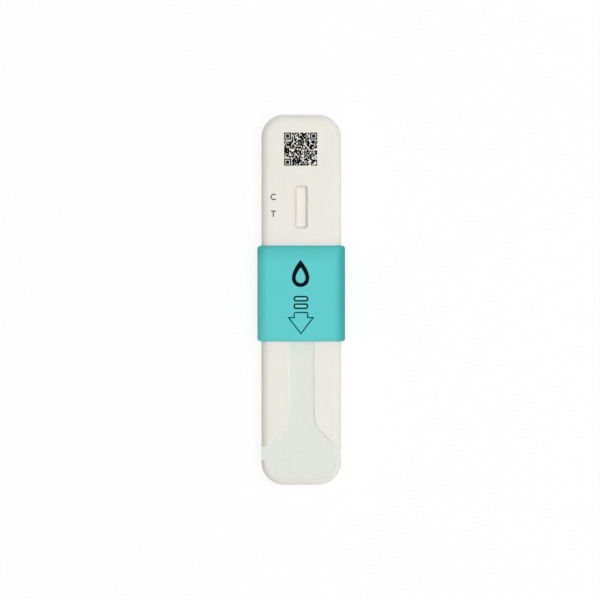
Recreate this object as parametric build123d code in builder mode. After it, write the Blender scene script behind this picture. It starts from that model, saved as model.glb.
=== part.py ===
# Lateral flow cassette: a case of two halves that holds a test strip and a collection pad,
# with a sleeve around it that slides down over the pad.
# X runs across the case, +Y runs along it to the end beyond the result window, and +Z comes
# out of its front. Z = 0 is the underside of the sleeve, which the cassette lies on.
from build123d import *
import os
from math import cos, radians, tan

# Case
body_length = 115.0
body_width = 24.7
body_thickness = 8.0
plan_radius = 7.1
edge_radius = 2.4
side_wall = 1.5
floor_wall = 1.5
roof_wall = 1.2
upper_height = 4.0
seam_chamfer = 0.15
seam_lip_width = 0.6
seam_lip_height = 0.7
seam_clearance = 0.08

# Sleeve, at rest, and the key under its roof that runs in the slot
sleeve_length = 29.75
sleeve_wall = 1.15
sleeve_clearance = 0.15
sleeve_from_top = 40.7
sleeve_corner_radius = 3.1
sleeve_bore_radius = 1.0
sleeve_end_radius = 1.0
sleeve_end_flat = 0.15
key_length = 6.0
key_radius = 0.7
key_inset = 1.0
key_pad_gap = 0.1
key_clearance = 0.3
stop_gap = 0.3

# Result window, with sloped sides that run down to just above the membrane
window_length = 13.4
window_width = 4.0
window_taper = 0.6
window_foot_radius = 0.4
window_edge_radius = 0.1
window_from_top = 28.7
window_lip_wall = 0.6
window_lip_gap = 0.2

# Slot and paddle opening, with the collection pad that lies in it
stem_width = 8.0
flare_angle = 45.0
flare_radius = 6.8
opening_edge_radius = 0.1
notch_from_bottom = 7.6
notch_length = 4.4
pad_sink = 0.4
pad_margin = 0.8
pad_clearance = 0.08
tongue_length = 6.0
tongue_clearance = 0.05

# Test strip
strip_width = 4.0
strip_gap = 0.3
card_thickness = 0.25
membrane_thickness = 0.14
membrane_length = 25.0
conjugate_thickness = 0.35
conjugate_length = 8.0
sample_thickness = 0.45
absorbent_thickness = 1.3
absorbent_clearance = 0.11
lap_length = 2.0
lap_ramp = 0.4

# Bed, ribs, pins and sockets inside the case
guide_clearance = 0.1
guide_width = 0.8
guide_lip_gap = 0.09
ledge_width = 0.9
rib_width = 1.0
pad_rib_pitch = 4.8
brace_height = 1.2
press_rib_gap = 0.03
pin_diameter = 1.76
pin_clearance = 0.02
pin_end_gap = 0.3
pin_tip_chamfer = 0.3
post_diameter = 3.4
post_wall_gap = 0.2
post_gap = 0.05
pin_rows_from_top = [11.5, 37.5, 65.5]
pin_row_from_bottom = 26.5

# Levels, from the underside of the sleeve up
back_z = sleeve_wall + sleeve_clearance
front_z = back_z + body_thickness
seam_z = front_z - upper_height
floor_z = back_z + floor_wall
ceiling_z = front_z - roof_wall
strip_stack = card_thickness + membrane_thickness + absorbent_thickness
bed_z = ceiling_z - absorbent_clearance - strip_stack
card_z = bed_z + card_thickness
membrane_z = card_z + membrane_thickness
sample_z = card_z + sample_thickness
absorbent_z = card_z + absorbent_thickness
pad_z = front_z - pad_sink
key_z = pad_z + key_pad_gap
window_lip_z = membrane_z + window_lip_gap

# Places along and across the case
top_end = body_length / 2
bottom_end = -body_length / 2
cavity_half_width = body_width / 2 - side_wall
cavity_top = top_end - side_wall
cavity_bottom = bottom_end + side_wall
sleeve_top = top_end - sleeve_from_top
sleeve_bottom = sleeve_top - sleeve_length
key_bottom = sleeve_bottom + key_inset
key_top = key_bottom + key_length
slot_top = key_top + stop_gap
slot_radius = key_radius + key_clearance
pad_top = slot_top + pad_margin
tongue_top = pad_top + tongue_length
notch_bottom = bottom_end + notch_from_bottom
notch_y = notch_bottom + notch_length / 2
notch_top = notch_bottom + notch_length
flare_rise = tan(radians(flare_angle))
ear_end = body_width / 2 - pad_clearance
window_y = top_end - window_from_top
strip_bottom = pad_top + strip_gap
strip_top = cavity_top - strip_gap
membrane_bottom = window_y - membrane_length / 2
membrane_top = window_y + membrane_length / 2
conjugate_top = membrane_bottom + lap_length
conjugate_bottom = conjugate_top - conjugate_length
sample_top = conjugate_bottom + lap_length
absorbent_bottom = membrane_top - lap_length
pin_x = cavity_half_width - post_wall_gap - post_diameter / 2
pin_rows = [top_end - distance for distance in pin_rows_from_top] + [bottom_end + pin_row_from_bottom]
pin_places = [(side * pin_x, row) for row in pin_rows for side in (-1, 1)]

print("slide travel", round(key_bottom - cavity_bottom - stop_gap, 3))
print("strip length", round(strip_top - strip_bottom, 3))


def case_outline(inset, mode=Mode.ADD):
    """Draws the plan of the case in the sketch in hand, drawn in all round by the inset."""
    width = body_width - 2 * inset
    length = body_length - 2 * inset
    RectangleRounded(width, length, plan_radius - inset, mode=mode)


def paddle_outline(grow, inset):
    """Gives the outline of the slot and paddle.

    The slot and the flare are grown by one distance, and the wide end is held off the wall of
    the cavity by the other.
    """
    half_stem = stem_width / 2 + grow
    half_end = cavity_half_width - inset
    flare_shift = grow / cos(radians(flare_angle))
    knee = notch_top + (cavity_half_width - half_stem) * flare_rise + flare_shift
    shoulder = notch_top + inset * flare_rise + flare_shift
    tip = slot_top + grow
    foot = cavity_bottom + inset
    with BuildSketch() as paddle:
        with BuildLine():
            FilletPolyline(
                (0, tip),
                (half_stem, tip),
                (half_stem, knee),
                (half_end, shoulder),
                (half_end, foot),
                (0, foot),
                radius=[slot_radius, flare_radius - grow, 0, plan_radius - side_wall - inset],
            )
            mirror(about=Plane.YZ)
        make_face()
    return paddle.sketch


def stepped_sheet(flat_end, step, lap_end, rise, thickness):
    """Gives the side view of a sheet that lies on the card and climbs onto its neighbour.

    It lies flat from its flat end to the step, and laps the neighbour from there to its lap end.
    """
    ramp_end = step + (lap_ramp if flat_end > step else -lap_ramp)
    with BuildSketch() as side_view:
        with BuildLine():
            Polyline(
                (lap_end, card_z + rise),
                (step, card_z + rise),
                (step, card_z),
                (flat_end, card_z),
                (flat_end, card_z + thickness),
                (ramp_end, card_z + thickness),
                (step, card_z + rise + thickness),
                (lap_end, card_z + rise + thickness),
                close=True,
            )
        make_face()
    return side_view.sketch


def middle_block(width, low, high, bottom, top):
    """Adds a block on the middle line of the case, between two places along it and two levels."""
    with Locations((0, (low + high) / 2, (bottom + top) / 2)):
        Box(width, high - low, top - bottom)


def cross_rib(width, place, bottom, top):
    """Adds a rib that runs across the case at one place along it, between two levels."""
    middle_block(width, place - rib_width / 2, place + rib_width / 2, bottom, top)


# The rounded block that the closed case fills
with BuildPart() as envelope:
    with BuildSketch(Plane.XY.offset(back_z)):
        case_outline(0)
    extrude(amount=body_thickness)
    rims = envelope.edges().group_by(Axis.Z)
    fillet(rims[0] + rims[-1], radius=edge_radius)

# Back half of the case: a tray with a lip at the seam
with BuildPart() as lower_shell:
    with BuildSketch(Plane.XY.offset(back_z)):
        case_outline(0)
    extrude(amount=seam_z - back_z)
    chamfer(lower_shell.edges().group_by(Axis.Z)[-1], length=seam_chamfer)
    with BuildSketch(Plane.XY.offset(seam_z)):
        case_outline(side_wall - seam_lip_width)
    extrude(amount=seam_lip_height)
    with BuildSketch(Plane.XY.offset(floor_z)):
        case_outline(side_wall)
    extrude(amount=seam_z + seam_lip_height - floor_z, mode=Mode.SUBTRACT)
    floor_edges = lower_shell.faces(Select.LAST).sort_by(Axis.Z)[0].edges()
    fillet(floor_edges, radius=max(edge_radius - side_wall, seam_chamfer))

    # Two rails carry the card, each with a guide wall outside it
    guide_inner = strip_width / 2 + guide_clearance
    strip_y = (strip_bottom + strip_top) / 2
    rails = [
        (ledge_width, guide_inner - ledge_width / 2, bed_z),
        (guide_width, guide_inner + guide_width / 2, window_lip_z - guide_lip_gap),
    ]
    for rail_width, rail_x, rail_z in rails:
        with BuildSketch(Plane.XY.offset(floor_z)):
            with Locations((-rail_x, strip_y), (rail_x, strip_y)):
                Rectangle(rail_width, strip_top - strip_bottom)
        extrude(amount=rail_z - floor_z)

    # Ribs carry the pad: the inner ones run the length of the stem, the others fill the paddle
    pad_rib_pairs = int((cavity_half_width - rib_width) / pad_rib_pitch + 0.5)
    for pair in range(pad_rib_pairs):
        rib_x = (pair + 0.5) * pad_rib_pitch
        under_stem = rib_x + rib_width / 2 < stem_width / 2
        flare_y = notch_top + (cavity_half_width - rib_x - rib_width / 2) * flare_rise
        rib_top = pad_top if under_stem else flare_y
        rib_y = (rib_top + bottom_end) / 2
        with BuildSketch(Plane.XY.offset(floor_z)):
            with Locations((-rib_x, rib_y), (rib_x, rib_y)):
                Rectangle(rib_width, rib_top - bottom_end)
            case_outline(side_wall, mode=Mode.INTERSECT)
        extrude(amount=bed_z - floor_z)

    # Low braces across the tray, and posts with sockets for the pins
    for row in pin_rows:
        cross_rib(2 * cavity_half_width, row, floor_z, floor_z + brace_height)
    with BuildSketch(Plane.XY.offset(floor_z)):
        with Locations(*pin_places):
            Circle(post_diameter / 2)
    extrude(amount=seam_z - floor_z)
    with BuildSketch(Plane.XY.offset(seam_z)):
        with Locations(*pin_places):
            Circle(pin_diameter / 2 + pin_clearance)
    extrude(amount=floor_z - seam_z, mode=Mode.SUBTRACT)
    add(envelope.part, mode=Mode.INTERSECT)

# Front half of the case: a lid with a rebate that drops over the lip
with BuildPart() as upper_shell:
    with BuildSketch(Plane.XY.offset(seam_z)):
        case_outline(0)
    extrude(amount=upper_height)
    chamfer(upper_shell.edges().group_by(Axis.Z)[0], length=seam_chamfer)
    with BuildSketch(Plane.XY.offset(seam_z)):
        case_outline(side_wall)
    extrude(amount=ceiling_z - seam_z, mode=Mode.SUBTRACT)
    with BuildSketch(Plane.XY.offset(seam_z)):
        case_outline(side_wall - seam_lip_width - seam_clearance)
    extrude(amount=seam_lip_height + seam_clearance, mode=Mode.SUBTRACT)

    # Result window: a collar under the roof, then the sloped opening through both, which widens
    # evenly from its foot to the front
    collar_reach = window_length / 2 + window_lip_wall
    collar_width = window_width + 2 * window_lip_wall
    middle_block(collar_width, window_y - collar_reach, window_y + collar_reach, window_lip_z, ceiling_z)
    foot_width = window_width - 2 * window_taper
    foot_length = window_length - 2 * window_taper
    for grow, level in ((0, window_lip_z), (window_taper, front_z)):
        with BuildSketch(Plane.XY.offset(level)):
            with Locations((0, window_y)):
                RectangleRounded(foot_width + 2 * grow, foot_length + 2 * grow, window_foot_radius + grow)
    loft(mode=Mode.SUBTRACT)
    front_openings = upper_shell.faces().sort_by(Axis.Z)[-1].inner_wires()
    fillet(front_openings[0].edges(), radius=window_edge_radius)

    # Opening that shows the pad
    with BuildSketch(Plane.XY.offset(ceiling_z)):
        add(paddle_outline(0, 0))
    extrude(amount=roof_wall, mode=Mode.SUBTRACT)
    front_openings = upper_shell.faces().sort_by(Axis.Z)[-1].inner_wires().sort_by(Axis.Y)
    fillet(front_openings[0].edges(), radius=opening_edge_radius)

    # Side notches, cut through both walls down to the underside of the pad
    with BuildSketch(Plane.XY.offset(bed_z)):
        with Locations((0, notch_y)):
            Rectangle(body_width + 2 * side_wall, notch_length)
    extrude(amount=front_z - bed_z, mode=Mode.SUBTRACT)

    # Ribs that hold down the sample pad, where it laps the conjugate pad, and the absorbent pad
    lap_z = sample_z + conjugate_thickness
    cross_rib(strip_width, conjugate_bottom + lap_length / 2, lap_z + press_rib_gap, ceiling_z)
    cross_rib(strip_width, (membrane_top + strip_top) / 2, absorbent_z + press_rib_gap, ceiling_z)

    # Posts with pins
    with BuildSketch(Plane.XY.offset(ceiling_z)):
        with Locations(*pin_places):
            Circle(post_diameter / 2)
    extrude(amount=seam_z + post_gap - ceiling_z)
    with BuildSketch(Plane.XY.offset(seam_z + post_gap)):
        with Locations(*pin_places):
            Circle(pin_diameter / 2)
    extrude(amount=floor_z + pin_end_gap - seam_z - post_gap)
    chamfer(upper_shell.edges().group_by(Axis.Z)[0], length=pin_tip_chamfer)
    add(envelope.part, mode=Mode.INTERSECT)

# Sleeve around the case
with BuildPart() as slide_sleeve:
    section_z = back_z + body_thickness / 2
    sections = [
        (sleeve_clearance + sleeve_wall, sleeve_corner_radius, Mode.ADD),
        (sleeve_clearance, sleeve_bore_radius, Mode.SUBTRACT),
    ]
    for grow, corner_radius, section_mode in sections:
        with BuildSketch(Plane.XZ.offset(-sleeve_top)):
            with Locations((0, section_z)):
                RectangleRounded(body_width + 2 * grow, body_thickness + 2 * grow, corner_radius)
        extrude(amount=sleeve_length, mode=section_mode)
    ends = slide_sleeve.faces().sort_by(Axis.Y)
    end_rims = ends[0].outer_wire().edges() + ends[-1].outer_wire().edges()
    fillet(end_rims, radius=min(sleeve_end_radius, sleeve_wall - sleeve_end_flat))
    with BuildSketch(Plane.XY.offset(key_z)):
        with Locations((0, (key_bottom + key_top) / 2)):
            RectangleRounded(stem_width - 2 * key_clearance, key_length, key_radius)
    extrude(amount=front_z + sleeve_clearance - key_z)

# Collection pad: a margin pressed thin under the roof, a face that fills the opening, ears in the
# notches, and a pressed tongue over the sample pad
with BuildPart() as collection_pad:
    with BuildSketch(Plane.XY.offset(bed_z)):
        add(paddle_outline(pad_margin, pad_clearance))
    extrude(amount=ceiling_z - pad_clearance - bed_z)
    with BuildSketch(Plane.XY.offset(bed_z)):
        add(paddle_outline(-pad_clearance, pad_clearance))
        with Locations((0, notch_y)):
            Rectangle(2 * ear_end, notch_length - 2 * pad_clearance)
    extrude(amount=pad_z - bed_z)
    middle_block(strip_width, pad_top, tongue_top, sample_z, ceiling_z - tongue_clearance)

# Test strip: a card with the membrane and three pads on it
with BuildPart() as backing_card:
    middle_block(strip_width, strip_bottom, strip_top, bed_z, card_z)

with BuildPart() as membrane:
    middle_block(strip_width, membrane_bottom, membrane_top, card_z, membrane_z)

with BuildPart() as conjugate_pad:
    conjugate_side = stepped_sheet(
        conjugate_bottom, membrane_bottom, conjugate_top, membrane_thickness, conjugate_thickness
    )
    with BuildSketch(Plane.YZ):
        add(conjugate_side)
    extrude(amount=strip_width / 2, both=True)

with BuildPart() as sample_pad:
    sample_side = stepped_sheet(
        strip_bottom, conjugate_bottom, sample_top, conjugate_thickness, sample_thickness
    )
    with BuildSketch(Plane.YZ):
        add(sample_side)
    extrude(amount=strip_width / 2, both=True)

with BuildPart() as absorbent_pad:
    absorbent_side = stepped_sheet(
        strip_top, membrane_top, absorbent_bottom, membrane_thickness, absorbent_thickness
    )
    with BuildSketch(Plane.YZ):
        add(absorbent_side)
    extrude(amount=strip_width / 2, both=True)

pieces = {
    "lower_shell": lower_shell,
    "upper_shell": upper_shell,
    "slide_sleeve": slide_sleeve,
    "collection_pad": collection_pad,
    "backing_card": backing_card,
    "membrane": membrane,
    "conjugate_pad": conjugate_pad,
    "sample_pad": sample_pad,
    "absorbent_pad": absorbent_pad,
}
os.makedirs("parts", exist_ok=True)
for name, piece in pieces.items():
    piece.part.label = name
    export_step(piece.part, f"parts/{name}.step")
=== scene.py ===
"""Looks of a lateral flow cassette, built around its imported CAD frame.

Everything is in metres, in the frame's own axes: X across the case, +Y along it to the end beyond
the result window, and +Z out of its front. Z = 0 is the floor that the sleeve lies on.
"""

import logging
import math
import random
from abc import ABC, abstractmethod
from dataclasses import dataclass, field
from enum import Enum

import bmesh
import bpy
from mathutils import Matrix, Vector, noise
from mathutils.bvhtree import BVHTree


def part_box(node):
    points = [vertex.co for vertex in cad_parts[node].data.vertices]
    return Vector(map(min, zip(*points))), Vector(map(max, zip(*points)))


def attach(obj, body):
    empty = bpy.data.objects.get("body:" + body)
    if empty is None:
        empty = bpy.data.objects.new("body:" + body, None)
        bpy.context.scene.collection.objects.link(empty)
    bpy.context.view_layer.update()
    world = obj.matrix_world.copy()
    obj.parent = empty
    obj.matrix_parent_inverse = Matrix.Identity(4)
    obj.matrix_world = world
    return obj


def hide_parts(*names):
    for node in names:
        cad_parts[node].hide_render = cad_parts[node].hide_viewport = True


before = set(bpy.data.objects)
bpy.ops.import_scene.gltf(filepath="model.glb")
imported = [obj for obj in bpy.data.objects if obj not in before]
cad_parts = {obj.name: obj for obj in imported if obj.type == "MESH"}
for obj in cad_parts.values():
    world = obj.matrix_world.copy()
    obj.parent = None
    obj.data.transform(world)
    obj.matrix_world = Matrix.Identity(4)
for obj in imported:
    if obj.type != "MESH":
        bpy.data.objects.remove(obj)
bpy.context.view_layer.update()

MM = 0.001
WELD = 0.001 * MM
# A noise texture keeps mostly between these two values
NOISE_SPAN = (0.3, 0.7)

log = logging.getLogger("cassette")


class Body(Enum):
    """The bodies of the frame that a piece can ride on."""

    CASE = "case"
    SLEEVE = "sleeve"


class Slot(Enum):
    """The record's material slots, by name."""

    PAD_FIBRE = "pad_fibre"


def linear(hex_colour: str) -> tuple[float, float, float, float]:
    """Turns an sRGB hex colour into linear light.

    Args:
        hex_colour: the colour as #RRGGBB.

    Returns:
        Its linear red, green, blue and a full alpha.
    """
    channels = []
    for place in (1, 3, 5):
        value = int(hex_colour[place : place + 2], 16) / 255
        channels.append(value / 12.92 if value <= 0.04045 else ((value + 0.055) / 1.055) ** 2.4)
    return (*channels, 1.0)


def per_metre(size_mm: float) -> float:
    """Gives the texture scale at which a pattern's features have this size in millimetres."""
    return 1 / (size_mm * MM)


def add_node(
    tree: bpy.types.NodeTree,
    kind: str,
    settings: dict[str | int, object] | None = None,
    links: dict[str | int, bpy.types.NodeSocket] | None = None,
    **properties: object,
) -> bpy.types.Node:
    """Adds a node to a tree, with its settings and links.

    Args:
        tree: the node tree of a material or of the world.
        kind: Blender's name for the node type.
        settings: values for its input sockets, by socket name or place.
        links: output sockets of other nodes, by the input that they feed.
        properties: values for the node's own properties.

    Returns:
        The new node.
    """
    node = tree.nodes.new(kind)
    for name, value in properties.items():
        setattr(node, name, value)
    for socket, value in (settings or {}).items():
        node.inputs[socket].default_value = value
    for socket, source in (links or {}).items():
        tree.links.new(source, node.inputs[socket])
    return node


def bare_material(name: str) -> tuple[bpy.types.Material, bpy.types.NodeTree]:
    """Makes a material with an empty node tree.

    Args:
        name: the finish's name.

    Returns:
        The material and its tree.
    """
    material = bpy.data.materials.new(name)
    material.use_nodes = True
    material.node_tree.nodes.clear()
    return material, material.node_tree


@dataclass(frozen=True)
class Finish(ABC):
    """A finish, named for what the real surface is made of and how it was made."""

    name: str
    colour: str

    @abstractmethod
    def material(self) -> bpy.types.Material:
        """Builds the node material."""

    def toned(
        self,
        tree: bpy.types.NodeTree,
        pattern: bpy.types.NodeSocket,
        span: tuple[float, float],
        swing: float,
    ) -> bpy.types.Node:
        """Adds the nodes that darken and lighten the colour with a pattern.

        Args:
            tree: the material's tree.
            pattern: the pattern's value.
            span: the values at which the tone is darkest and lightest.
            swing: how far the tone goes either way, as a share of the colour.

        Returns:
            The node that gives the toned colour.
        """
        darkest, lightest = span
        tone = add_node(
            tree,
            "ShaderNodeMapRange",
            {"From Min": darkest, "From Max": lightest, "To Min": 1 - swing, "To Max": 1 + swing},
            {"Value": pattern},
        )
        return add_node(
            tree,
            "ShaderNodeHueSaturation",
            {"Color": linear(self.colour)},
            {"Value": tone.outputs["Result"]},
        )


@dataclass(frozen=True)
class PaintedShade:
    """Painted shade: a darker colour mixed into a plastic over its right side's rounded edge and, less, its
    far end.

    Each stretch runs from where the painted shade starts to where it is darkest.
    """

    colour: str
    side_mm: tuple[float, float]
    end_mm: tuple[float, float]
    end_share: float = 0.45

    def over(
        self, tree: bpy.types.NodeTree, place: bpy.types.NodeSocket, colour: str
    ) -> bpy.types.NodeSocket:
        """Adds the nodes that paint shade onto a colour towards the right side and, less, the far end.

        Args:
            tree: the material's tree.
            place: its Object coordinates.
            colour: the colour that the shade is painted onto.

        Returns:
            The colour with its painted shade.
        """
        axes = add_node(tree, "ShaderNodeSeparateXYZ", links={"Vector": place}).outputs
        shares = []
        for axis, (start, end), most in (("X", self.side_mm, 1.0), ("Y", self.end_mm, self.end_share)):
            share = add_node(
                tree,
                "ShaderNodeMapRange",
                {"From Min": start * MM, "From Max": end * MM, "To Max": most},
                {"Value": axes[axis]},
                interpolation_type="SMOOTHSTEP",
            )
            shares.append(share.outputs["Result"])
        shade_share = add_node(tree, "ShaderNodeMath", links={0: shares[0], 1: shares[1]}, operation="MAXIMUM")
        mixed = add_node(
            tree,
            "ShaderNodeMixRGB",
            {"Color1": linear(colour), "Color2": linear(self.colour)},
            {"Fac": shade_share.outputs["Value"]},
        )
        return mixed.outputs["Color"]


@dataclass(frozen=True)
class MouldedPlastic(Finish):
    """A plastic moulded in a spark-eroded tool.

    The tool leaves a fine even grain, so the face is satin: it spreads highlights wide and never
    mirrors. The melt cools unevenly, which shifts the tone and the gloss a little over centimetres.
    A little light goes into the plastic and comes out again nearby, so its edges look soft.
    """

    ior: float
    roughness: float
    grain_mm: float
    grain_depth_mm: float
    cloud_mm: float
    glow: float
    glow_reach_mm: float = 0.6
    glow_tint: tuple[float, float, float] = (1.0, 0.9, 0.75)
    gloss_level: float = 0.12
    gloss_swing: float = 0.05
    tone_swing: float = 0.012
    # Painted shade along one side and one end, drawn as a darker colour, or None
    deep: PaintedShade | None = None

    def material(self) -> bpy.types.Material:
        """Builds the node material.

        Returns:
            The plastic.
        """
        material, tree = bare_material(self.name)
        place = add_node(tree, "ShaderNodeTexCoord").outputs["Object"]
        cloud = add_node(
            tree,
            "ShaderNodeTexNoise",
            {"Scale": per_metre(self.cloud_mm), "Detail": 2.0, "Roughness": 0.5},
            {"Vector": place},
        )
        tint = self.toned(tree, cloud.outputs["Fac"], NOISE_SPAN, self.tone_swing)
        # Paints shade into the colour along one side and one end
        if self.deep is not None:
            tree.links.new(self.deep.over(tree, place, self.colour), tint.inputs["Color"])
        gloss = add_node(
            tree,
            "ShaderNodeMapRange",
            {
                "From Min": NOISE_SPAN[0],
                "From Max": NOISE_SPAN[1],
                "To Min": self.roughness - self.gloss_swing,
                "To Max": self.roughness + self.gloss_swing,
            },
            {"Value": cloud.outputs["Fac"]},
        )
        grain = add_node(
            tree,
            "ShaderNodeTexNoise",
            {"Scale": per_metre(self.grain_mm), "Detail": 3.0, "Roughness": 0.55},
            {"Vector": place},
        )
        bump = add_node(
            tree,
            "ShaderNodeBump",
            {"Strength": 1.0, "Distance": self.grain_depth_mm * MM},
            {"Height": grain.outputs["Fac"]},
        )
        shader = add_node(
            tree,
            "ShaderNodeBsdfPrincipled",
            {
                "IOR": self.ior,
                "Specular IOR Level": self.gloss_level,
                "Subsurface Weight": self.glow,
                "Subsurface Radius": self.glow_tint,
                "Subsurface Scale": self.glow_reach_mm * MM,
            },
            {
                "Base Color": tint.outputs["Color"],
                "Roughness": gloss.outputs["Result"],
                "Normal": bump.outputs["Normal"],
            },
        )
        add_node(tree, "ShaderNodeOutputMaterial", links={"Surface": shader.outputs["BSDF"]})
        return material


@dataclass(frozen=True)
class PressedFibre(Finish):
    """A sheet of fibres pressed flat without a binder.

    The fibres lie in all directions in the plane of the sheet. They scatter light so well that the
    face is dead matt, with a faint pile at its edges and a mottle where the fibres bunch.
    """

    fibre_mm: float
    fibre_length_mm: float
    mottle_mm: float
    relief_mm: float
    directions: tuple[float, ...] = (12.0, 71.0, 133.0)
    bunch_span: tuple[float, float] = (0.8, 1.3)
    tone_swing: float = 0.03
    pile: float = 0.15
    ior: float = 1.47
    roughness: float = 0.95
    gloss_level: float = 0.2

    def material(self) -> bpy.types.Material:
        """Builds the node material.

        Returns:
            The fibre sheet.
        """
        material, tree = bare_material(self.name)
        place = add_node(tree, "ShaderNodeTexCoord").outputs["Object"]
        along = per_metre(self.fibre_length_mm)
        across = per_metre(self.fibre_mm)
        layers = []
        for turn in self.directions:
            lie = add_node(
                tree,
                "ShaderNodeMapping",
                {"Rotation": (0, 0, math.radians(turn)), "Scale": (along, across, across)},
                {"Vector": place},
            )
            strands = add_node(
                tree,
                "ShaderNodeTexNoise",
                {"Scale": 1.0, "Detail": 2.0, "Roughness": 0.6, "Distortion": 0.4},
                {"Vector": lie.outputs["Vector"]},
            )
            layers.append(strands.outputs["Fac"])
        fibres = layers[0]
        for layer in layers[1:]:
            tangle = add_node(tree, "ShaderNodeMath", links={0: fibres, 1: layer}, operation="MAXIMUM")
            fibres = tangle.outputs["Value"]
        mottle = add_node(
            tree,
            "ShaderNodeTexNoise",
            {"Scale": per_metre(self.mottle_mm), "Detail": 3.0},
            {"Vector": place},
        )
        bunches = add_node(
            tree, "ShaderNodeMath", links={0: fibres, 1: mottle.outputs["Fac"]}, operation="ADD"
        )
        tint = self.toned(tree, bunches.outputs["Value"], self.bunch_span, self.tone_swing)
        bump = add_node(
            tree,
            "ShaderNodeBump",
            {"Strength": 1.0, "Distance": self.relief_mm * MM},
            {"Height": fibres},
        )
        shader = add_node(
            tree,
            "ShaderNodeBsdfPrincipled",
            {
                "Roughness": self.roughness,
                "IOR": self.ior,
                "Specular IOR Level": self.gloss_level,
                "Sheen Weight": self.pile,
            },
            {"Base Color": tint.outputs["Color"], "Normal": bump.outputs["Normal"]},
        )
        add_node(tree, "ShaderNodeOutputMaterial", links={"Surface": shader.outputs["BSDF"]})
        return material


@dataclass(frozen=True)
class CastSheet(Finish):
    """A thin sheet that was cast or rolled smooth, such as a porous membrane or a plastic card.

    It is even and pale. Fine pores or roller marks break up its sheen.
    """

    ior: float
    roughness: float
    pore_mm: float
    pore_depth_mm: float
    pore_span: tuple[float, float] = (0.8, 0.0)
    tone_swing: float = 0.01

    def material(self) -> bpy.types.Material:
        """Builds the node material.

        Returns:
            The sheet.
        """
        material, tree = bare_material(self.name)
        place = add_node(tree, "ShaderNodeTexCoord").outputs["Object"]
        pores = add_node(
            tree,
            "ShaderNodeTexVoronoi",
            {"Scale": per_metre(self.pore_mm)},
            {"Vector": place},
        )
        tint = self.toned(tree, pores.outputs["Distance"], self.pore_span, self.tone_swing)
        bump = add_node(
            tree,
            "ShaderNodeBump",
            {"Strength": 1.0, "Distance": self.pore_depth_mm * MM},
            {"Height": pores.outputs["Distance"]},
        )
        shader = add_node(
            tree,
            "ShaderNodeBsdfPrincipled",
            {"Roughness": self.roughness, "IOR": self.ior},
            {"Base Color": tint.outputs["Color"], "Normal": bump.outputs["Normal"]},
        )
        add_node(tree, "ShaderNodeOutputMaterial", links={"Surface": shader.outputs["BSDF"]})
        return material


@dataclass(frozen=True)
class PrintInk(Finish):
    """Pad-printed ink.

    A soft pad lays down a film about a hundredth of a millimetre thick. It is opaque and dries
    matt, and it lies a little unevenly, so its tone wanders.
    """

    ior: float = 1.5
    roughness: float = 0.7
    gloss_level: float = 0.05
    patch_mm: float = 0.8
    tone_swing: float = 0.08

    def material(self) -> bpy.types.Material:
        """Builds the node material.

        Returns:
            The ink.
        """
        material, tree = bare_material(self.name)
        place = add_node(tree, "ShaderNodeTexCoord").outputs["Object"]
        patches = add_node(
            tree,
            "ShaderNodeTexNoise",
            {"Scale": per_metre(self.patch_mm), "Detail": 2.0},
            {"Vector": place},
        )
        tint = self.toned(tree, patches.outputs["Fac"], NOISE_SPAN, self.tone_swing)
        shader = add_node(
            tree,
            "ShaderNodeBsdfPrincipled",
            {"Roughness": self.roughness, "IOR": self.ior, "Specular IOR Level": self.gloss_level},
            {"Base Color": tint.outputs["Color"]},
        )
        add_node(tree, "ShaderNodeOutputMaterial", links={"Surface": shader.outputs["BSDF"]})
        return material


def dress_node(name: str, finish: Finish) -> None:
    """Gives a CAD node its finish.

    Args:
        name: the node's name.
        finish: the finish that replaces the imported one.
    """
    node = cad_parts[name]
    node.data.materials.clear()
    node.data.materials.append(finish.material())
    log.info("dressed %s in %s", name, finish.name)


def place_piece(name: str, shape: bmesh.types.BMesh, finish: Finish, body: Body) -> bpy.types.Object:
    """Turns a finished shape into a piece that rides on a body.

    Args:
        name: the piece's name.
        shape: the shape, in place; it is freed.
        finish: its finish.
        body: the body that it moves with.

    Returns:
        The new object, at the origin.
    """
    mesh = bpy.data.meshes.new(name)
    shape.to_mesh(mesh)
    shape.free()
    mesh.materials.append(finish.material())
    piece = bpy.data.objects.new(name, mesh)
    bpy.context.scene.collection.objects.link(piece)
    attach(piece, body.value)
    log.info("built %s: %d faces, rides on %s", name, len(mesh.polygons), body.value)
    return piece


def point_over(middle_of: str, top_of: str) -> Vector:
    """Gives the point over the middle of one node, at the level of another's top.

    Args:
        middle_of: the node that gives its place in plan.
        top_of: the node that gives its level.

    Returns:
        The point.
    """
    low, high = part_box(middle_of)
    point = (low + high) / 2
    point.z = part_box(top_of)[1].z
    return point


@dataclass
class InkFilm:
    """Flat print as a thin film that stands on a face, drawn around a point of that face."""

    origin: Vector
    thickness: float = 0.02 * MM
    sink: float = 0.01 * MM

    def raise_film(self, shape: bmesh.types.BMesh) -> bmesh.types.BMesh:
        """Gives flat faces the thickness of ink and sets them a little into the face below.

        Args:
            shape: faces at z = 0, drawn in plan around the film's point.

        Returns:
            The same shape, as a closed film in its place.
        """
        grown = bmesh.ops.extrude_face_region(shape, geom=list(shape.faces), use_keep_orig=True)
        top = [item for item in grown["geom"] if isinstance(item, bmesh.types.BMVert)]
        bmesh.ops.translate(shape, verts=top, vec=(0, 0, self.thickness + self.sink))
        bmesh.ops.translate(shape, verts=shape.verts, vec=self.origin - Vector((0, 0, self.sink)))
        bmesh.ops.recalc_face_normals(shape, faces=shape.faces)
        return shape


def keep_outline(shape: bmesh.types.BMesh, stroke: float) -> None:
    """Leaves only a line along the edge of each flat face.

    Args:
        shape: the faces, which are changed in place.
        stroke: the width of the line.
    """
    shape.normal_update()
    inner = list(shape.faces)
    bmesh.ops.inset_region(shape, faces=inner, thickness=stroke, use_boundary=True, use_even_offset=True)
    bmesh.ops.delete(shape, geom=inner, context="FACES")


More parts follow.
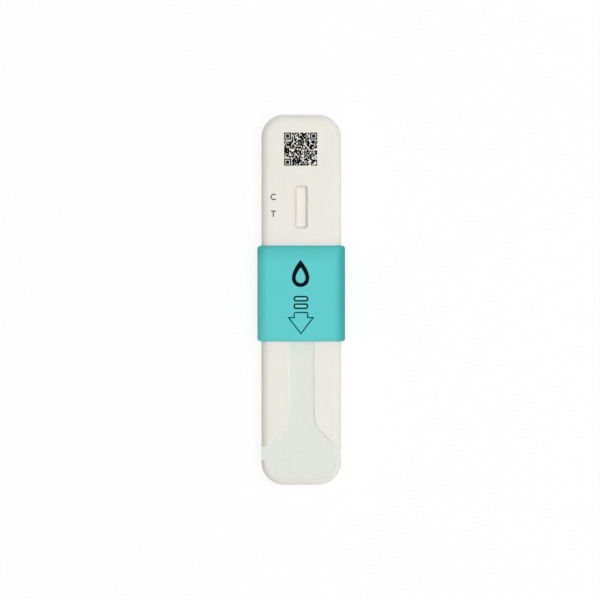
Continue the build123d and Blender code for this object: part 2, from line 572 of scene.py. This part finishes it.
@dataclass
class CaseShells:
    """The two halves of the case, as the frame has them."""

    # High-impact polystyrene, moulded in a spark-eroded tool: ivory and satin. The real grain is
    # about 0.1 mm, drawn at three times that so that it shows.
    finish: MouldedPlastic = MouldedPlastic(
        name="ivory_polystyrene_moulded",
        colour="#EEEBE3",
        ior=1.59,
        roughness=0.5,
        grain_mm=0.3,
        grain_depth_mm=0.004,
        cloud_mm=24.0,
        glow=0.08,
    )
    nodes: tuple[str, ...] = ("upper_shell", "lower_shell")

    def dress(self) -> None:
        """Gives both halves the same plastic."""
        for name in self.nodes:
            dress_node(name, self.finish)


@dataclass
class SlideSleeve:
    """The band around the case."""

    # Polypropylene with pigment, moulded in the same kind of tool: teal and satin, a little softer in its
    # highlights than the case. Shade is painted into its colour as a darker teal along its right side and,
    # less, its far end.
    finish: MouldedPlastic = MouldedPlastic(
        name="teal_polypropylene_moulded",
        colour="#5ECFCF",
        ior=1.49,
        roughness=0.45,
        grain_mm=0.3,
        grain_depth_mm=0.004,
        cloud_mm=15.0,
        glow=0.05,
        # Painted shade: a darker teal over the right side's rounded edge and the far end
        deep=PaintedShade(colour="#3AA9A7", side_mm=(9.6, 13.4), end_mm=(10.8, 17.2)),
    )

    def dress(self) -> None:
        """Gives the sleeve its plastic."""
        dress_node("slide_sleeve", self.finish)


@dataclass
class TestStrip:
    """The strip inside the case. Only its membrane shows, through the window."""

    # Nitrocellulose cast on a film: white with a warm cast and dead flat. Its pores are far under
    # a tenth of a millimetre and are drawn coarser so that they show.
    membrane: CastSheet = CastSheet(
        name="nitrocellulose_membrane_cast",
        colour="#F1EFE9",
        ior=1.5,
        roughness=0.85,
        pore_mm=0.25,
        pore_depth_mm=0.003,
    )
    # Vinyl card, rolled smooth: white, with a low sheen and the faint marks of the rollers.
    card: CastSheet = CastSheet(
        name="white_vinyl_card_rolled",
        colour="#F0F0EE",
        ior=1.53,
        roughness=0.4,
        pore_mm=0.6,
        pore_depth_mm=0.002,
    )
    # Glass fibre, laid wet and dried with a coloured reagent in it: a loose pale rose mat.
    glass: PressedFibre = PressedFibre(
        name="glass_fibre_mat_laid",
        colour="#E9DCD8",
        fibre_mm=0.15,
        fibre_length_mm=2.0,
        mottle_mm=1.5,
        relief_mm=0.02,
    )
    # Cotton linter paper, pressed: white, thick and soft.
    paper: PressedFibre = PressedFibre(
        name="cotton_linter_paper_pressed",
        colour="#F0EFE9",
        fibre_mm=0.2,
        fibre_length_mm=1.6,
        mottle_mm=2.0,
        relief_mm=0.02,
    )

    def dress(self) -> None:
        """Gives each layer of the strip its finish."""
        layers = {
            "membrane": self.membrane,
            "backing_card": self.card,
            "conjugate_pad": self.glass,
            "sample_pad": self.paper,
            "absorbent_pad": self.paper,
        }
        for name, finish in layers.items():
            dress_node(name, finish)


@dataclass
class CollectionPad:
    """The soft paddle and stem that lie in the front of the case."""

    # Cotton and viscose fibre pressed into a sheet: a cool greyed white and dead matt. Its fibres
    # are about 0.02 mm wide, drawn at eight times that so that they show.
    finish: PressedFibre = PressedFibre(
        name="cotton_viscose_fibre_pressed",
        colour="#E6EAE2",
        fibre_mm=0.16,
        fibre_length_mm=2.4,
        mottle_mm=2.2,
        relief_mm=0.02,
        tone_swing=0.02,
    )
    swell: float = 0.078 * MM
    edge_radius: float = 0.03 * MM
    edge_segments: int = 2
    flat_angle: float = 1.0
    sharp_angle: float = 40.0
    side_tilt: float = 0.1
    mesh_pitch: float = 0.7 * MM
    crown_drop: float = 0.03 * MM
    crown_reach: float = 2.4 * MM
    wave_height: float = 0.04 * MM
    wave_length: float = 4.0 * MM
    fill: float = 0.9

    def soft_copy(self) -> bmesh.types.BMesh:
        """Copies the pad's solid, swells it to the walls around its face and divides it to bend.

        Returns:
            The copy, as one closed shape with soft edges.
        """
        soft = bmesh.new()
        soft.from_mesh(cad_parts["collection_pad"].data)
        bmesh.ops.remove_doubles(soft, verts=soft.verts, dist=WELD)
        bmesh.ops.dissolve_limit(
            soft, angle_limit=math.radians(self.flat_angle), verts=soft.verts, edges=soft.edges
        )
        soft.normal_update()
        low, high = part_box("collection_pad")
        for vertex in soft.verts:
            if vertex.co.z > high.z - WELD:
                vertex.co += Vector((vertex.normal.x, vertex.normal.y, 0)).normalized() * self.swell
        sharp = [edge for edge in soft.edges if edge.calc_face_angle() > math.radians(self.sharp_angle)]
        bmesh.ops.bevel(
            soft,
            geom=sharp,
            offset=self.edge_radius,
            offset_type="OFFSET",
            segments=self.edge_segments,
            profile=0.5,
            affect="EDGES",
            clamp_overlap=True,
            material=-1,
        )
        for axis in (Vector((1, 0, 0)), Vector((0, 1, 0))):
            first, last = low.dot(axis), high.dot(axis)
            cuts = int((last - first) / self.mesh_pitch)
            for cut in range(1, cuts):
                geometry = [*soft.verts, *soft.edges, *soft.faces]
                level = first + (last - first) * cut / cuts
                bmesh.ops.bisect_plane(soft, geom=geometry, dist=WELD, plane_co=axis * level, plane_no=axis)
        return soft

    def crown(self, soft: bmesh.types.BMesh) -> None:
        """Lets the face fall away to the sides and gives it the low waves of a pressed sheet.

        Args:
            soft: the divided copy, which is changed in place.
        """
        low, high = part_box("collection_pad")
        soft.normal_update()
        soft.verts.index_update()
        sides = [face for face in soft.faces if abs(face.normal.z) < self.side_tilt]
        side_tree = BVHTree.FromPolygons(
            [vertex.co.copy() for vertex in soft.verts],
            [[vertex.index for vertex in face.verts] for face in sides],
        )
        middle = (low.z + high.z) / 2
        for vertex in soft.verts:
            share = (vertex.co.z - middle) / (high.z - middle)
            if share <= 0:
                continue
            distance = side_tree.find_nearest(vertex.co)[3]
            edge = max(0.0, 1 - distance / self.crown_reach)
            wave = (1 - noise.noise(vertex.co / self.wave_length)) / 2
            vertex.co.z -= share * (self.crown_drop * edge**2 + self.wave_height * wave)

    def build(self) -> None:
        """Builds the pad in place of its solid."""
        soft = self.soft_copy()
        self.crown(soft)
        for face in soft.faces:
            face.smooth = True
        pad = place_piece("collection_pad_soft", soft, self.finish, Body.CASE)
        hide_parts("collection_pad")


@dataclass
class CasePrint:
    """The print on the front of the case: a plain square code and the letters of the two lines.

    Places are measured from the middle of the result window.
    """

    # Carbon black ink for the code, and a thinner coat of it, which looks softer, for the letters
    ink: PrintInk = PrintInk("black_pad_ink", "#100F0B")
    letter_ink: PrintInk = PrintInk("soft_black_pad_ink", "#38342B")
    code_size: float = 10.27 * MM
    code_cells: int = 33
    code_centre: Vector = field(default_factory=lambda: Vector((-0.19, 17.95, 0)) * MM)
    code_seed: int = 7
    ink_share: float = 0.5
    ink_gain: float = 0.06 * MM
    finder_cells: int = 7
    letter_height: float = 2.0 * MM
    # How far the font's strokes are thickened, as a share of its size
    letter_weight: float = 0.014
    letter_narrowing: float = 0.87
    letters: dict[str, Vector] = field(
        default_factory=lambda: {"C": Vector((-8.69, 3.1, 0)) * MM, "T": Vector((-8.69, -2.13, 0)) * MM}
    )

    def finder_ink(self, column: int, row: int) -> bool | None:
        """Says whether a cell of the three corner squares is inked.

        Args:
            column: the cell's column, from the left.
            row: its row, from the bottom.

        Returns:
            Whether it is inked, or None for a cell outside those squares and their clear border.
        """
        last = self.code_cells - 1
        across = min(column, last - column)
        along = min(row, last - row)
        is_open_corner = column > last / 2 and row < last / 2
        if is_open_corner or max(across, along) > self.finder_cells:
            return None
        middle = (self.finder_cells - 1) / 2
        ring = max(abs(across - middle), abs(along - middle))
        return ring == middle or ring <= 1

    def code(self, film: InkFilm) -> bmesh.types.BMesh:
        """Draws a square code that stands for no text: its cells are chosen by a seeded draw.

        The ink spreads a little past each cell, which also joins cells that meet at a corner.

        Args:
            film: the ink film on the case.

        Returns:
            The inked cells as one film.
        """
        draw = random.Random(self.code_seed)
        shape = bmesh.new()
        cells = self.code_cells
        bmesh.ops.create_grid(shape, x_segments=cells, y_segments=cells, size=self.code_size / 2)
        cell = self.code_size / cells
        blank = []
        for face in shape.faces:
            centre = face.calc_center_median() / cell
            column = int(centre.x + cells / 2)
            row = int(centre.y + cells / 2)
            inked = self.finder_ink(column, row)
            if inked is None:
                inked = draw.random() < self.ink_share
            if not inked:
                blank.append(face)
        bmesh.ops.inset_region(
            shape, faces=blank, thickness=self.ink_gain, use_boundary=False, use_even_offset=True
        )
        bmesh.ops.delete(shape, geom=blank, context="FACES")
        bmesh.ops.translate(shape, vec=self.code_centre, verts=shape.verts)
        return film.raise_film(shape)

    def letter(self, text: str, centre: Vector, film: InkFilm) -> bmesh.types.BMesh:
        """Draws one capital.

        Args:
            text: the capital.
            centre: its middle, in plan.
            film: the ink film on the case.

        Returns:
            The letter as a film.
        """
        curve = bpy.data.curves.new("letter", "FONT")
        curve.body = text
        curve.offset = self.letter_weight
        writing = bpy.data.objects.new("letter", curve)
        bpy.context.scene.collection.objects.link(writing)
        depsgraph = bpy.context.evaluated_depsgraph_get()
        mesh = bpy.data.meshes.new_from_object(writing.evaluated_get(depsgraph))
        bpy.data.objects.remove(writing)
        shape = bmesh.new()
        shape.from_mesh(mesh)
        bpy.data.meshes.remove(mesh)
        bmesh.ops.remove_doubles(shape, verts=shape.verts, dist=WELD)
        xs = [vertex.co.x for vertex in shape.verts]
        ys = [vertex.co.y for vertex in shape.verts]
        middle = Vector(((min(xs) + max(xs)) / 2, (min(ys) + max(ys)) / 2, 0))
        size = self.letter_height / (max(ys) - min(ys))
        bmesh.ops.translate(shape, vec=-middle, verts=shape.verts)
        bmesh.ops.scale(shape, vec=(size * self.letter_narrowing, size, 1), verts=shape.verts)
        bmesh.ops.translate(shape, vec=centre, verts=shape.verts)
        return film.raise_film(shape)

    def build(self) -> None:
        """Builds the print on the front of the case."""
        film = InkFilm(point_over("membrane", "upper_shell"))
        place_piece("code_print", self.code(film), self.ink, Body.CASE)
        for text, centre in self.letters.items():
            place_piece(f"line_letter_{text}", self.letter(text, centre, film), self.letter_ink, Body.CASE)


@dataclass
class SleevePrint:
    """The print on the sleeve: a drop, and the slide sign of two bars and an arrow.

    Places are measured from the middle of the sleeve, and those of the bars and of the arrow's
    corners run along it.
    """

    # A dense black for the drop, deep blue greens for the lines of the sign, and a pale one that
    # fills the bars
    drop_ink: PrintInk = PrintInk("deep_black_pad_ink", "#06080A")
    line_ink: PrintInk = PrintInk("deep_teal_pad_ink", "#0C4A55")
    bar_ink: PrintInk = PrintInk("navy_pad_ink", "#022F3A")
    bar_fill_ink: PrintInk = PrintInk("pale_teal_pad_ink", "#7CDCDA")
    drop_centre: Vector = field(default_factory=lambda: Vector((-0.2, 6.225, 0)) * MM)
    drop_size: tuple[float, float] = (5.4 * MM, 8.4 * MM)
    drop_stroke: float = 1.2 * MM
    drop_tip_share: float = 2.0
    drop_points: int = 64
    sign_x: float = -0.1 * MM
    bar_size: tuple[float, float] = (4.58 * MM, 1.78 * MM)
    bar_places: tuple[float, ...] = (-1.625 * MM, -3.945 * MM)
    bar_radius: float = 0.78 * MM
    bar_corner_segments: int = 8
    bar_stroke: float = 0.5 * MM
    arrow_top: float = -5.695 * MM
    arrow_shoulder: float = -7.305 * MM
    arrow_tip: float = -12.755 * MM
    arrow_stem: float = 2.26 * MM
    arrow_head: float = 4.2 * MM
    arrow_radius: float = 0.5 * MM
    arrow_corner_segments: int = 6
    arrow_stroke: float = 0.38 * MM

    def drop_line(
        self, shape: bmesh.types.BMesh, width: float, height: float, bottom: float
    ) -> list[bmesh.types.BMEdge]:
        """Draws the closed line of a drop with its point up.

        Args:
            shape: the bmesh to draw in.
            width: its greatest width.
            height: its height.
            bottom: the place of its round end along the sleeve, from the middle of the drop.

        Returns:
            The line's edges.
        """
        ring = bmesh.ops.create_circle(shape, cap_ends=False, segments=self.drop_points, radius=1)["verts"]
        for vertex in ring:
            turn = math.atan2(vertex.co.x, vertex.co.y) % (2 * math.pi)
            vertex.co = Vector((math.sin(turn) * math.sin(turn / 2), (math.cos(turn) + 1) / 2, 0))
        widest = max(vertex.co.x for vertex in ring)
        bmesh.ops.scale(shape, vec=(width / 2 / widest, height, 1), verts=ring)
        bmesh.ops.translate(shape, vec=(0, bottom, 0), verts=ring)
        return list({edge for vertex in ring for edge in vertex.link_edges})

    def drop(self) -> bmesh.types.BMesh:
        """Draws the outline of a drop: the band between two lines, wider at its point.

        Returns:
            The band as flat faces.
        """
        shape = bmesh.new()
        width, height = self.drop_size
        stroke = self.drop_stroke
        outer = self.drop_line(shape, width, height, -height / 2)
        inner_height = height - (1 + self.drop_tip_share) * stroke
        inner = self.drop_line(shape, width - 2 * stroke, inner_height, stroke - height / 2)
        bmesh.ops.bridge_loops(shape, edges=outer + inner)
        bmesh.ops.translate(shape, vec=self.drop_centre, verts=shape.verts)
        return shape

    def bars(self, shrink: float) -> bmesh.types.BMesh:
        """Draws both bars as flat faces with round corners.

        Args:
            shrink: how far they are drawn in all round.

        Returns:
            One face for each bar.
        """
        shape = bmesh.new()
        width, height = self.bar_size
        for place in self.bar_places:
            corners = bmesh.ops.create_grid(shape, x_segments=1, y_segments=1, size=0.5)["verts"]
            bmesh.ops.scale(shape, vec=(width - 2 * shrink, height - 2 * shrink, 1), verts=corners)
            bmesh.ops.translate(shape, vec=(self.sign_x, place, 0), verts=corners)
        bmesh.ops.bevel(
            shape,
            geom=list(shape.verts),
            offset=self.bar_radius - shrink,
            offset_type="OFFSET",
            segments=self.bar_corner_segments,
            profile=0.5,
            affect="VERTICES",
            material=-1,
        )
        return shape

    def arrow(self) -> bmesh.types.BMesh:
        """Draws the outline of the arrow, which points along the case to the pad.

        Returns:
            The line as flat faces.
        """
        half = [
            (self.arrow_stem, self.arrow_top),
            (self.arrow_stem, self.arrow_shoulder),
            (self.arrow_head, self.arrow_shoulder),
            (0, self.arrow_tip),
        ]
        corners = half + [(-x, y) for x, y in reversed(half[:-1])]
        shape = bmesh.new()
        shape.faces.new([shape.verts.new((self.sign_x + x, y, 0)) for x, y in corners])
        bmesh.ops.bevel(
            shape,
            geom=[vertex for vertex in shape.verts if vertex.co.y > self.arrow_top - WELD],
            offset=self.arrow_radius,
            offset_type="OFFSET",
            segments=self.arrow_corner_segments,
            profile=0.5,
            affect="VERTICES",
            material=-1,
        )
        keep_outline(shape, self.arrow_stroke)
        return shape

    def build(self) -> None:
        """Builds the print on the roof of the sleeve."""
        film = InkFilm(point_over("slide_sleeve", "slide_sleeve"))
        bar_lines = self.bars(0.0)
        keep_outline(bar_lines, self.bar_stroke)
        signs = {
            "drop_sign": (self.drop(), self.drop_ink),
            "slide_sign_bars": (bar_lines, self.bar_ink),
            "slide_sign_bar_fill": (self.bars(self.bar_stroke), self.bar_fill_ink),
            "slide_sign_arrow": (self.arrow(), self.line_ink),
        }
        for name, (shape, ink) in signs.items():
            place_piece(name, film.raise_film(shape), ink, Body.SLEEVE)


@dataclass
class Studio:
    """The pale floor, the soft light and the camera, which looks straight down on the case."""

    frame_width: float = 186.74 * MM
    frame_centre: Vector = field(default_factory=lambda: Vector((-0.385, -0.093, 0)) * MM)
    frame_level: float = 5.3 * MM
    lens_mm: float = 300.0
    sensor_mm: float = 36.0
    # The camera's far limit, in multiples of its distance
    clip_share: float = 10.0
    white: str = "#FFFFFF"
    floor_size: float = 6.0
    floor_bounce: str = "#E6E6E6"
    shadow_share: float = 0.12
    sky_strength: float = 0.3
    lamp_distance: float = 1.2
    key_direction: Vector = field(default_factory=lambda: Vector((0.16, 0.03, 1.0)))
    key_size: float = 0.6
    key_power: float = 7.25
    fill_size: float = 0.8
    fills: dict[str, tuple[Vector, float]] = field(
        default_factory=lambda: {
            "far_end_fill": (Vector((0.1, 0.87, 0.5)), 1.7),
            "pad_end_fill": (Vector((0.1, -0.87, 0.5)), 2.6),
            "right_fill": (Vector((0.9, 0.0, 0.42)), 1.4),
        }
    )

    def white_to_eye(self, tree: bpy.types.NodeTree) -> bpy.types.NodeSocket:
        """Adds the sum of the rays that see the background: camera, glossy and transmission rays.

        Args:
            tree: the tree of the floor's material or of the world.

        Returns:
            1 for such a ray and 0 for any other.
        """
        rays = add_node(tree, "ShaderNodeLightPath").outputs
        seen = rays["Is Camera Ray"]
        for kind in ("Is Glossy Ray", "Is Transmission Ray"):
            total = add_node(
                tree, "ShaderNodeMath", links={0: seen, 1: rays[kind]}, operation="ADD", use_clamp=True
            )
            seen = total.outputs["Value"]
        return seen

    def light(self) -> None:
        """Sets a weak even sky, one large soft lamp overhead and low fills at the ends and the right."""
        world = bpy.data.worlds.new("studio_sky")
        bpy.context.scene.world = world
        world.use_nodes = True
        tree = world.node_tree
        tree.nodes.clear()
        colour = linear(self.white)
        sky = add_node(tree, "ShaderNodeBackground", {"Color": colour, "Strength": self.sky_strength})
        white = add_node(tree, "ShaderNodeBackground", {"Color": colour, "Strength": 1.0})
        mixed = add_node(
            tree,
            "ShaderNodeMixShader",
            links={0: self.white_to_eye(tree), 1: sky.outputs["Background"], 2: white.outputs["Background"]},
        )
        add_node(tree, "ShaderNodeOutputWorld", links={"Surface": mixed.outputs["Shader"]})
        self.softbox("key_softbox", self.key_direction, self.key_size, self.key_power)
        for name, (direction, power) in self.fills.items():
            self.softbox(name, direction, self.fill_size, power)

    def softbox(self, name: str, direction: Vector, size: float, power: float) -> None:
        """Hangs a round soft lamp that faces the case.

        Args:
            name: the lamp's name.
            direction: where it hangs, seen from the case.
            size: its diameter.
            power: its power in watts.
        """
        lamp = bpy.data.lights.new(name, "AREA")
        lamp.shape = "DISK"
        lamp.size = size
        lamp.energy = power
        box = bpy.data.objects.new(name, lamp)
        box.location = direction.normalized() * self.lamp_distance
        box.rotation_euler = direction.to_track_quat("Z", "Y").to_euler()
        bpy.context.scene.collection.objects.link(box)

    def floor(self) -> None:
        """Lays a pale floor that looks white and keeps a faint shadow."""
        shape = bmesh.new()
        bmesh.ops.create_grid(shape, x_segments=1, y_segments=1, size=self.floor_size / 2)
        mesh = bpy.data.meshes.new("floor")
        shape.to_mesh(mesh)
        shape.free()
        material, tree = bare_material("white_paper_sweep")
        colour = linear(self.white)
        bounce = add_node(tree, "ShaderNodeBsdfDiffuse", {"Color": linear(self.floor_bounce)})
        paper = add_node(tree, "ShaderNodeBsdfDiffuse", {"Color": colour})
        white = add_node(tree, "ShaderNodeEmission", {"Color": colour, "Strength": 1.0})
        shaded = add_node(
            tree,
            "ShaderNodeMixShader",
            {0: self.shadow_share},
            {1: white.outputs["Emission"], 2: paper.outputs["BSDF"]},
        )
        mixed = add_node(
            tree,
            "ShaderNodeMixShader",
            links={0: self.white_to_eye(tree), 1: bounce.outputs["BSDF"], 2: shaded.outputs["Shader"]},
        )
        add_node(tree, "ShaderNodeOutputMaterial", links={"Surface": mixed.outputs["Shader"]})
        mesh.materials.append(material)
        floor = bpy.data.objects.new("floor", mesh)
        bpy.context.scene.collection.objects.link(floor)

    def camera(self) -> None:
        """Sets a long lens straight above the case, with +Y up in the picture."""
        lens = bpy.data.cameras.new("camera")
        lens.lens = self.lens_mm
        lens.sensor_width = self.sensor_mm
        eye = bpy.data.objects.new("camera", lens)
        distance = self.frame_width * self.lens_mm / self.sensor_mm
        eye.location = self.frame_centre + Vector((0, 0, self.frame_level + distance))
        lens.clip_end = self.clip_share * distance
        bpy.context.scene.collection.objects.link(eye)
        bpy.context.scene.camera = eye

    def build(self) -> None:
        """Sets the stage."""
        self.light()
        self.floor()
        self.camera()
        bpy.context.scene.view_settings.view_transform = "Standard"


def main() -> None:
    """Builds the stage and every piece, in order."""
    logging.basicConfig(level=logging.INFO, format="%(name)s: %(message)s")
    Studio().build()
    CaseShells().dress()
    SlideSleeve().dress()
    TestStrip().dress()
    CollectionPad().build()
    CasePrint().build()
    SleevePrint().build()


if __name__ == "__main__":
    main()
